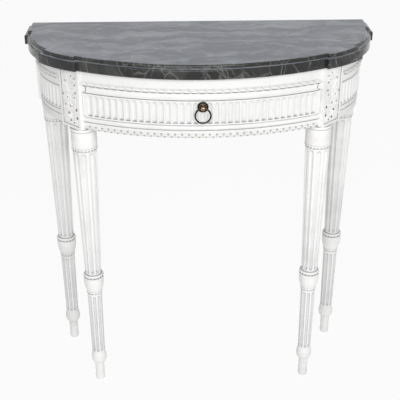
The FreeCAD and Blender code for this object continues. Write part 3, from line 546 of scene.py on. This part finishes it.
def gathered(name, units, body, nodes=()):
    """Copies each unit to its places and joins the copies in one piece, which may replace nodes."""
    bpy.ops.object.select_all(action="DESELECT")
    copies = []
    for unit, places in units:
        for place in places:
            copy = unit.copy()
            copy.data = unit.data.copy()
            bpy.context.scene.collection.objects.link(copy)
            copy.matrix_world = place
            copies.append(copy)
    bpy.context.view_layer.update()
    for copy in copies:
        copy.select_set(True)
    bpy.context.view_layer.objects.active = copies[0]
    bpy.ops.object.join()
    piece = bpy.context.view_layer.objects.active
    bpy.ops.object.transform_apply(location=True, rotation=True, scale=True)
    edit(piece)
    bpy.ops.mesh.select_all(action="SELECT")
    bpy.ops.mesh.normals_make_consistent(inside=False)
    done()
    bpy.ops.object.shade_smooth_by_angle(angle=SMOOTH_ANGLE)
    piece.name = name
    piece.data.name = name
    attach(piece, body)
    if nodes:
        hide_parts(*nodes)


def drop(*units):
    """Removes the units that were modelled only to be copied."""
    for unit in units:
        bpy.data.meshes.remove(unit.data)


def on_arc(centre, radius, angle, level):
    """The place on an upright curved face, where a unit's front looks outwards."""
    turn = Matrix.Rotation(angle, 4, "Z")
    middle = Matrix.Translation(centre + Vector((0, 0, level)))
    return middle @ turn @ Matrix.Translation((0, -radius, 0))


def along(centre, radius, angles, level):
    """One place for each angle on an upright curved face."""
    return [on_arc(centre, radius, angle, level) for angle in angles]


def spread(start, end, pitch):
    """Angles at an even pitch, centred between start and end."""
    count = int((end - start) / pitch)
    first = (start + end) / 2 - pitch * (count - 1) / 2
    return [first + index * pitch for index in range(count)]


def leg_axis(node):
    """The upright axis of a leg."""
    low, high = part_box(node)
    return Vector(((low.x + high.x) / 2, (low.y + high.y) / 2, 0.0))


def lobe(length, width, thickness, sway=0.0, lift=0.0, groove=0.0):
    """A carved leaf lobe that grows upwards, with a sunk middle and a tip that may lean and turn out."""
    bpy.ops.object.select_all(action="DESELECT")
    rings = 8
    bpy.ops.mesh.primitive_uv_sphere_add(segments=12, ring_count=rings, radius=1.0, location=(0, 0, 0))
    leaf = bpy.context.object
    edit(leaf)
    bpy.ops.mesh.select_all(action="SELECT")
    bpy.ops.transform.resize(value=(width / 2, thickness, length / 2), center_override=(0, 0, 0))
    bpy.ops.transform.translate(value=(0, 0, length / 2))
    for ring in range(rings + 1):
        share = (1 - math.cos(math.pi * ring / rings)) / 2
        level = share * length
        near = length * 0.02
        pick(leaf, lambda co: abs(co.z - level) < near)
        waist = 0.45 + 0.75 * share - 0.15 * share * share
        bpy.ops.transform.resize(value=(waist, 1, 1), center_override=(0, 0, level))
        bpy.ops.transform.translate(value=(sway * share * share, -lift * share * share, 0))
    pick(leaf, lambda co: co.y < -thickness * 0.55 - lift * (co.z / length) ** 2)
    bpy.ops.transform.translate(value=(0, groove * thickness, 0))
    done()
    return leaf


def drilled_hole(radius, depth):
    """A short peg that is bored to make a drilled eye."""
    bpy.ops.object.select_all(action="DESELECT")
    bpy.ops.mesh.primitive_cylinder_add(vertices=10, radius=radius, depth=depth, location=(0, 0, 0),
                                        rotation=(math.radians(90), 0, 0))
    hole = bpy.context.object
    bpy.ops.object.transform_apply(location=True, rotation=True, scale=True)
    return hole


def bored(hole, radius, depth):
    """Sinks the front face of a drilled eye and gives the bore its second material, a painted shade that
    is nearly black.
    """
    edit(hole)
    bpy.ops.mesh.select_mode(type="FACE")
    bpy.ops.mesh.select_all(action="DESELECT")
    mesh = bmesh.from_edit_mesh(hole.data)
    for face in mesh.faces:
        face.select_set(face.normal.y < -0.9)
    bmesh.update_edit_mesh(hole.data)
    bpy.ops.mesh.inset(thickness=radius * HOLE_RIM, depth=0.0)
    hole.active_material_index = 1
    bpy.ops.object.material_slot_assign()
    bpy.ops.mesh.inset(thickness=radius * HOLE_TAPER, depth=-depth * HOLE_BORE)
    done()


class DEMILUNE_OT_finishes(bpy.types.Operator):
    """Give every turned, joined and cast piece of the table its finish"""

    bl_idname = "demilune.finishes"
    bl_label = "Finishes"

    def execute(self, context):
        colours = context.scene.demilune_colours
        white = colours.paint
        # Painted light: the carving, the beads and the legs get the paler copy of the white paint.
        painted_light_ground = colours.painted_light_white
        paint = antique_paint(
            colours, "antique_white_paint", white, FLUTE_REACH, shade_share=0.62, glaze_share=0.6)
        by_slot = {
            "painted_wood": paint,
            "plain_wood": plain_wood(colours),
            "marble": dark_marble(colours),
            "bronze": dark_bronze(colours, "dark_bronze", start=0.52),
            "iron": dull_iron(colours),
        }
        antique_paint(
            colours, "carved_white_paint", painted_light_ground, CARVING_REACH, shade_share=0.25, glaze_share=0.5)
        antique_paint(
            colours, "leaf_white_paint", white, LEAF_REACH, shade_share=0.8, glaze_share=0.3)
        leg_paint = antique_paint(
            colours, "leg_white_paint", painted_light_ground, FLUTE_REACH, shade_share=0.95, glaze_share=0.25)
        drawer_paint = antique_paint(
            colours, "handled_white_paint", white, FLUTE_REACH, shade_share=0.85, glaze_share=0.85,
            glaze_start=0.30)
        # Painted shade: dark materials for the bores of the drilled eyes, the dashes under the ribbon,
        # the hollows between the leaves and the gaps between the beads.
        shade_material(colours, "painted_shade_in_drilled_holes", colours.glaze, level=0.15, warmth=0.1)
        shade_material(colours, "painted_shadow_under_ribbon", colours.glaze, level=1.0, warmth=0.6)
        shade_material(colours, "painted_shade_in_leaves", colours.painted_hollow_shade, level=0.88, warmth=0.25)
        shade_material(colours, "painted_shade_between_beads", colours.glaze, level=0.5, warmth=0.2)
        rubbed_bronze = dark_bronze(colours, "rubbed_bronze", start=-0.3)
        for part in frame["record"]["subparts"]:
            painted(frame["nodes"][part["node"]], by_slot[part["material_slot"]])
        for leg in LEGS:
            painted(frame["nodes"][leg], leg_paint)
        painted(frame["nodes"]["drawer_front"], drawer_paint)
        painted(frame["nodes"]["pull_eye_bolt"], rubbed_bronze)
        return {"FINISHED"}


class DEMILUNE_OT_ribbon(bpy.types.Operator):
    """Carve the twisted ribbon along the top rail and along both sides"""

    bl_idname = "demilune.ribbon"
    bl_label = "Ribbon mouldings"

    def execute(self, context):
        sizes = context.scene.demilune_carving
        low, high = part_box("front_ribbon_moulding")
        height = high.z - low.z
        middle = (high.z + low.z) / 2
        bpy.ops.object.select_all(action="DESELECT")
        half = sizes.ribbon_pitch / 2 - RIBBON_CHAMFER
        bpy.ops.mesh.primitive_cylinder_add(vertices=RIBBON_SIDES, radius=1.0, depth=1.0,
                                            location=(0, 0, 0), rotation=(0, math.radians(90), 0))
        turn = bpy.context.object
        bpy.ops.object.transform_apply(location=True, rotation=True, scale=True)
        edit(turn)
        bpy.ops.mesh.select_all(action="SELECT")
        bpy.ops.transform.resize(value=(2 * half, RIBBON_THICKNESS, height / 2),
                                 center_override=(0, 0, 0))
        for sign in (-1, 1):
            pick(turn, lambda co: co.x * sign > half * 0.9)
            bpy.ops.mesh.extrude_region_move(
                TRANSFORM_OT_translate={"value": (sign * RIBBON_CHAMFER, 0, 0)})
            bpy.ops.transform.resize(value=(1, RIBBON_END, RIBBON_END),
                                     center_override=(sign * (half + RIBBON_CHAMFER), 0, 0))
        for side in range(RIBBON_SIDES):
            level = height / 2 * math.sin(2 * math.pi * side / RIBBON_SIDES)
            for share in (1.0, RIBBON_END):
                near = 0.01 * height
                pick(turn, lambda co: abs(co.z - level * share) < near)
                bpy.ops.transform.translate(value=(-sizes.ribbon_slant * level * share / height, 0, 0))
        done()
        painted(turn, bpy.data.materials["antique_white_paint"])
        # Painted shadow: a dark dash under each turn of the ribbon stands for the shadow between the
        # ribbon and the rail.
        bpy.ops.object.select_all(action="DESELECT")
        bpy.ops.mesh.primitive_cube_add(size=1.0, location=(0, 0, 0))
        dash = bpy.context.object
        edit(dash)
        bpy.ops.mesh.select_all(action="SELECT")
        bpy.ops.transform.resize(value=(sizes.ribbon_pitch * DASH_SHARE, DASH_DEPTH, DASH_HEIGHT),
                                 center_override=(0, 0, 0))
        bpy.ops.mesh.bevel(offset=DASH_BEVEL, segments=1)
        done()
        painted(dash, bpy.data.materials["painted_shadow_under_ribbon"])

        end = math.asin(high.x / APRON_RADIUS)
        angles = spread(-end, end, sizes.ribbon_pitch / APRON_RADIUS)
        rows = [("front", "front_ribbon_moulding", APRON_CENTRE, APRON_RADIUS, angles)]
        for side, sign in SIDES:
            centre = Vector((sign * SIDE_CENTRE.x, SIDE_CENTRE.y, 0))
            angles = spread(SIDE_START, SIDE_END, sizes.ribbon_pitch / SIDE_RADIUS)
            angles = [sign * angle for angle in angles]
            rows.append((side, "side_ribbon_moulding_" + side, centre, SIDE_RADIUS, angles))
        for row, node, centre, radius, angles in rows:
            turns = along(centre, radius + RIBBON_PROUD, angles, middle)
            dashes = along(centre, radius + DASH_PROUD, angles, low.z + DASH_RISE)
            gathered("ribbon_carving_" + row, [(turn, turns), (dash, dashes)],
                     "frame", [node])
        drop(turn, dash)
        return {"FINISHED"}


class DEMILUNE_OT_leaves(bpy.types.Operator):
    """Carve the small leaves along the bottom rail"""

    bl_idname = "demilune.leaves"
    bl_label = "Leaf moulding"

    def execute(self, context):
        sizes = context.scene.demilune_carving
        paint = bpy.data.materials["leaf_white_paint"]
        low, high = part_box("front_leaf_moulding")
        height = high.z - low.z
        pitch = sizes.leaf_pitch
        leaf = lobe(length=height * 0.98, width=pitch * 0.94, thickness=2.9 * MM,
                    lift=0.2 * MM, groove=0.26)
        painted(leaf, paint)
        dart = lobe(length=height * 0.55, width=pitch * 0.26, thickness=2.7 * MM)
        painted(dart, paint)
        bpy.ops.object.select_all(action="DESELECT")
        bpy.ops.mesh.primitive_cube_add(size=1.0, location=(0, 0, 0))
        backing = bpy.context.object
        edit(backing)
        bpy.ops.mesh.select_all(action="SELECT")
        bpy.ops.transform.resize(value=(pitch * BACKING_OVERLAP, BACKING_THICKNESS, height),
                                 center_override=(0, 0, 0))
        pick(backing, lambda co: co.y < 0)
        bpy.ops.mesh.bevel(offset=BACKING_BEVEL, segments=3)
        done()
        painted(backing, paint)
        # Painted shade: grey triangles between the leaf tips, and smaller ones in the notches at the
        # foot, stand for the shade in the hollows between the leaves.
        bpy.ops.object.select_all(action="DESELECT")
        bpy.ops.mesh.primitive_cone_add(vertices=3, radius1=3.6 * MM, radius2=2.9 * MM, depth=2.6 * MM,
                                        location=(0, 0, 0), rotation=(math.radians(90), 0, 0))
        corner = bpy.context.object
        bpy.ops.object.transform_apply(location=True, rotation=True, scale=True)
        edit(corner)
        bpy.ops.mesh.select_all(action="SELECT")
        bpy.ops.transform.resize(value=(0.9, 1, -0.8), center_override=(0, 0, 0))
        done()
        painted(corner, bpy.data.materials["painted_shade_in_leaves"])

        end = math.asin(high.x / APRON_RADIUS)
        angles = spread(-end, end, pitch / APRON_RADIUS)
        between = [angle + pitch / APRON_RADIUS / 2 for angle in angles[:-1]]
        hang = Matrix.Rotation(math.radians(180), 4, "Y")
        smaller = Matrix.Diagonal((0.6, 1.0, 0.6, 1.0))
        face = APRON_RADIUS + LEAF_PROUD
        leaves = [place @ hang for place in along(APRON_CENTRE, face, angles, high.z)]
        darts = along(APRON_CENTRE, face, between, low.z + LEAF_PROUD)
        backings = along(APRON_CENTRE, face, angles, (low.z + high.z) / 2)
        corners = along(APRON_CENTRE, APRON_RADIUS + CORNER_PROUD, between, high.z - CORNER_DROP)
        notches = along(APRON_CENTRE, APRON_RADIUS + NOTCH_PROUD, angles, low.z + NOTCH_RISE)
        corners += [place @ smaller for place in notches]
        units = [(leaf, leaves), (dart, darts), (backing, backings), (corner, corners)]
        gathered("leaf_carving", units, "frame", ["front_leaf_moulding"])
        drop(leaf, dart, backing, corner)
        return {"FINISHED"}


class DEMILUNE_OT_beads(bpy.types.Operator):
    """Set the rows of beads round the collar and the knop of each leg"""

    bl_idname = "demilune.beads"
    bl_label = "Bead rows"

    def execute(self, context):
        sizes = context.scene.demilune_carving
        bpy.ops.object.select_all(action="DESELECT")
        bpy.ops.mesh.primitive_uv_sphere_add(segments=10, ring_count=6, radius=sizes.bead_radius,
                                             location=(0, 0, 0))
        bead = bpy.context.object
        edit(bead)
        bpy.ops.mesh.select_all(action="SELECT")
        bpy.ops.transform.resize(value=BEAD_STRETCH, center_override=(0, 0, 0))
        done()
        painted(bead, bpy.data.materials["carved_white_paint"])
        # Painted shade: a dark dot in the gap between each pair of beads, a little below the row.
        bpy.ops.object.select_all(action="DESELECT")
        bpy.ops.mesh.primitive_ico_sphere_add(subdivisions=1, radius=GAP_RADIUS, location=(0, 0, 0))
        gap = painted(bpy.context.object, bpy.data.materials["painted_shade_between_beads"])
        for leg in LEGS:
            axis = leg_axis(leg)
            places = []
            gaps = []
            for level, radius in BEAD_LEVELS_AND_RADII:
                count = round(2 * math.pi * radius / (sizes.bead_radius * BEAD_SPACING))
                step = 2 * math.pi / count
                for index in range(count):
                    places.append(on_arc(axis, radius, index * step, level))
                    gaps.append(on_arc(axis, radius + GAP_PROUD, (index + 0.5) * step, level - GAP_DROP))
            gathered(leg + "_beads", [(bead, places), (gap, gaps)], "frame")
        drop(bead, gap)
        return {"FINISHED"}


class DEMILUNE_OT_panels(bpy.types.Operator):
    """Carve the acanthus leaves on the two front blocks"""

    bl_idname = "demilune.panels"
    bl_label = "Carved panels"

    def execute(self, context):
        paint = bpy.data.materials["carved_white_paint"]
        long_leaf = lobe(length=21.0 * MM, width=8.2 * MM, thickness=2.3 * MM,
                         sway=3.4 * MM, lift=0.3 * MM, groove=0.34)
        painted(long_leaf, paint)
        stem = lobe(length=70.0 * MM, width=5.0 * MM, thickness=2.0 * MM, lift=0.2 * MM, groove=0.20)
        painted(stem, paint)
        # Painted shade: the bores of the drilled eyes are painted nearly black.
        hole = drilled_hole(HOLE_RADIUS, HOLE_DEPTH)
        painted(hole, paint, bpy.data.materials["painted_shade_in_drilled_holes"])
        bored(hole, HOLE_RADIUS, HOLE_DEPTH)

        def spot(across, up, turn, size, flip):
            """A leaf's place on the panel, in millimetres and degrees. Flip -1 is the other half."""
            tilt = Matrix.Rotation(math.radians(turn * flip), 4, "Y")
            scale = Matrix.Diagonal((size * flip, 1.0, size, 1.0))
            return Matrix.Translation((across * flip * MM, 0, up * MM)) @ tilt @ scale

        leaves = [Matrix.Translation((0, 0, 31 * MM)) @ Matrix.Diagonal((1.1, 1.1, 1.15, 1.0))]
        for flip in (-1, 1):
            for up, size in ((-50, 1.15), (-31, 1.12), (-12, 1.05), (6, 1.0)):
                leaves.append(spot(1.5, up, 64, size * 0.98, flip))
                leaves.append(spot(1.5, up + 3, 36, size * 1.08, flip))
                leaves.append(spot(7.0, up + 9, 14, size * 0.78, flip))
                leaves.append(spot(17.0, up + 12, 4, size * 0.55, flip))
            for up, turn, size in ((29, 74, 0.92), (31, 50, 1.02), (32, 25, 1.08)):
                leaves.append(spot(1.0, up, turn, size, flip))
            leaves.append(spot(14.0, 39, 18, 0.75, flip))

        # Holes: distance from the front corner and from the top, as shares of the face, and a size
        drillings = (
            (0.15, 0.14, 0.8), (0.16, 0.25, 1.0), (0.15, 0.38, 1.15), (0.21, 0.47, 0.8),
            (0.13, 0.67, 1.5), (0.12, 0.81, 1.4), (0.31, 0.91, 0.9), (0.45, 0.63, 1.15),
            (0.48, 0.88, 1.3), (0.57, 0.76, 1.3), (0.34, 0.11, 0.8), (0.66, 0.22, 0.9),
            (0.72, 0.63, 0.9), (0.82, 0.46, 1.0), (0.61, 0.50, 0.75),
        )
        for side, sign in SIDES:
            middle = leg_axis("leg_front_" + side) + Vector((0, 0, PANEL_LEVEL))
            panel = (Matrix.Translation(middle) @ Matrix.Rotation(sign * PANEL_TURN, 4, "Z")
                     @ Matrix.Translation((0, -PANEL_DEPTH, 0)))
            root = panel @ Matrix.Translation((0, 0, -STEM_DROP))
            holes = []
            for near, down, size in drillings:
                across = sign * (near - 0.5) * PANEL_WIDTH
                up = (0.5 - down) * PANEL_HEIGHT
                holes.append(panel @ Matrix.Translation((across, -HOLE_PROUD, up))
                             @ Matrix.Diagonal((size, 1.0, size * HOLE_STRETCH, 1.0)))
            gathered("acanthus_carving_" + side,
                     [(long_leaf, [panel @ leaf for leaf in leaves]), (stem, [root]), (hole, holes)],
                     "frame")
        drop(long_leaf, stem, hole)
        return {"FINISHED"}


class DEMILUNE_OT_rosette(bpy.types.Operator):
    """Chase the petals on the pull's rosette"""

    bl_idname = "demilune.rosette"
    bl_label = "Rosette petals"

    def execute(self, context):
        count = context.scene.demilune_carving.petal_count
        low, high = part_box("pull_rosette")
        middle = (low + high) / 2
        petal = lobe(length=5.2 * MM, width=4.4 * MM, thickness=1.5 * MM, lift=-0.3 * MM, groove=0.18)
        painted(petal, bpy.data.materials["dark_bronze"])
        plate = Matrix.Translation((middle.x, high.y - PETAL_SINK, middle.z))
        places = []
        for index in range(count):
            turn = Matrix.Rotation(2 * math.pi * index / count, 4, "Y")
            places.append(plate @ turn @ Matrix.Translation((0, 0, PETAL_RING)))
        gathered("rosette_petals", [(petal, places)], "drawer")
        drop(petal)
        return {"FINISHED"}


class DEMILUNE_OT_stage(bpy.types.Operator):
    """Set the floor, the soft light and the camera"""

    bl_idname = "demilune.stage"
    bl_label = "Stage"

    def execute(self, context):
        settings = context.scene.demilune_stage
        bpy.ops.object.select_all(action="DESELECT")
        bpy.ops.mesh.primitive_plane_add(size=FLOOR_SIZE, location=(0, 0, 0))
        floor = bpy.context.object
        floor.name = "floor"
        floor.data.materials.append(pale_floor(settings))

        world = bpy.data.worlds.new("studio")
        world.use_nodes = True
        context.scene.world = world
        sky = Finish(tree=world.node_tree)
        strength = settings.sky_level + sky.seen_directly() * (1.0 - settings.sky_level)
        light = sky.node("ShaderNodeBackground", sockets={"Color": WHITE, "Strength": strength})
        sky.node("ShaderNodeOutputWorld", sockets={"Surface": light})

        lamps = {
            "left_light": (LEFT_LIGHT_PLACE, settings.left_power),
            "right_light": (RIGHT_LIGHT_PLACE, settings.right_power),
            "middle_light": (MIDDLE_LIGHT_PLACE, settings.middle_power),
        }
        for name, (spot, power) in lamps.items():
            bpy.ops.object.light_add(type="AREA", location=spot)
            lamp = bpy.context.object
            lamp.name = name
            lamp.data.energy = power
            lamp.data.shape = "RECTANGLE"
            lamp.data.size = settings.lamp_width
            lamp.data.size_y = settings.lamp_height
            lamp.rotation_euler = (LIGHT_AIM - Vector(spot)).to_track_quat("-Z", "Y").to_euler()

        bpy.ops.object.camera_add()
        camera = bpy.context.object
        camera.name = "photo_camera"
        camera.data.lens = settings.lens
        camera.data.sensor_width = SENSOR_WIDTH
        ahead = Vector((math.sin(CAMERA_YAW), math.cos(CAMERA_YAW), 0.0))
        forward = ahead * math.cos(CAMERA_PITCH) - Vector((0, 0, math.sin(CAMERA_PITCH)))
        level_right = Vector((math.cos(CAMERA_YAW), -math.sin(CAMERA_YAW), 0.0))
        level_down = forward.cross(level_right)
        right = level_right * math.cos(CAMERA_ROLL) + level_down * math.sin(CAMERA_ROLL)
        down = level_down * math.cos(CAMERA_ROLL) - level_right * math.sin(CAMERA_ROLL)
        axes = Matrix((right, -down, -forward)).transposed().to_4x4()
        camera.matrix_world = Matrix.Translation(CAMERA_PLACE) @ axes
        context.scene.camera = camera
        context.scene.view_settings.view_transform = "Standard"
        return {"FINISHED"}


OPERATORS = (
    DEMILUNE_OT_finishes,
    DEMILUNE_OT_ribbon,
    DEMILUNE_OT_leaves,
    DEMILUNE_OT_beads,
    DEMILUNE_OT_panels,
    DEMILUNE_OT_rosette,
    DEMILUNE_OT_stage,
)


class DEMILUNE_PT_panel(bpy.types.Panel):
    """Lists the steps that dress the table"""

    bl_label = "Console table"
    bl_idname = "DEMILUNE_PT_panel"
    bl_space_type = "VIEW_3D"
    bl_region_type = "UI"
    bl_category = "Console table"

    def draw(self, context):
        for step in OPERATORS:
            self.layout.operator(step.bl_idname)


GROUPS = (
    (CarvingSizes, "demilune_carving"),
    (FinishColours, "demilune_colours"),
    (StageSettings, "demilune_stage"),
)


def register():
    for group, name in GROUPS:
        bpy.utils.register_class(group)
        setattr(bpy.types.Scene, name, bpy.props.PointerProperty(type=group))
    for step in OPERATORS:
        bpy.utils.register_class(step)
    bpy.utils.register_class(DEMILUNE_PT_panel)


def unregister():
    bpy.utils.unregister_class(DEMILUNE_PT_panel)
    for step in reversed(OPERATORS):
        bpy.utils.unregister_class(step)
    for group, name in reversed(GROUPS):
        delattr(bpy.types.Scene, name)
        bpy.utils.unregister_class(group)


def main():
    register()
    bpy.ops.demilune.finishes()
    bpy.ops.demilune.ribbon()
    bpy.ops.demilune.leaves()
    bpy.ops.demilune.beads()
    bpy.ops.demilune.panels()
    bpy.ops.demilune.rosette()
    bpy.ops.demilune.stage()


if __name__ == "__main__":
    main()
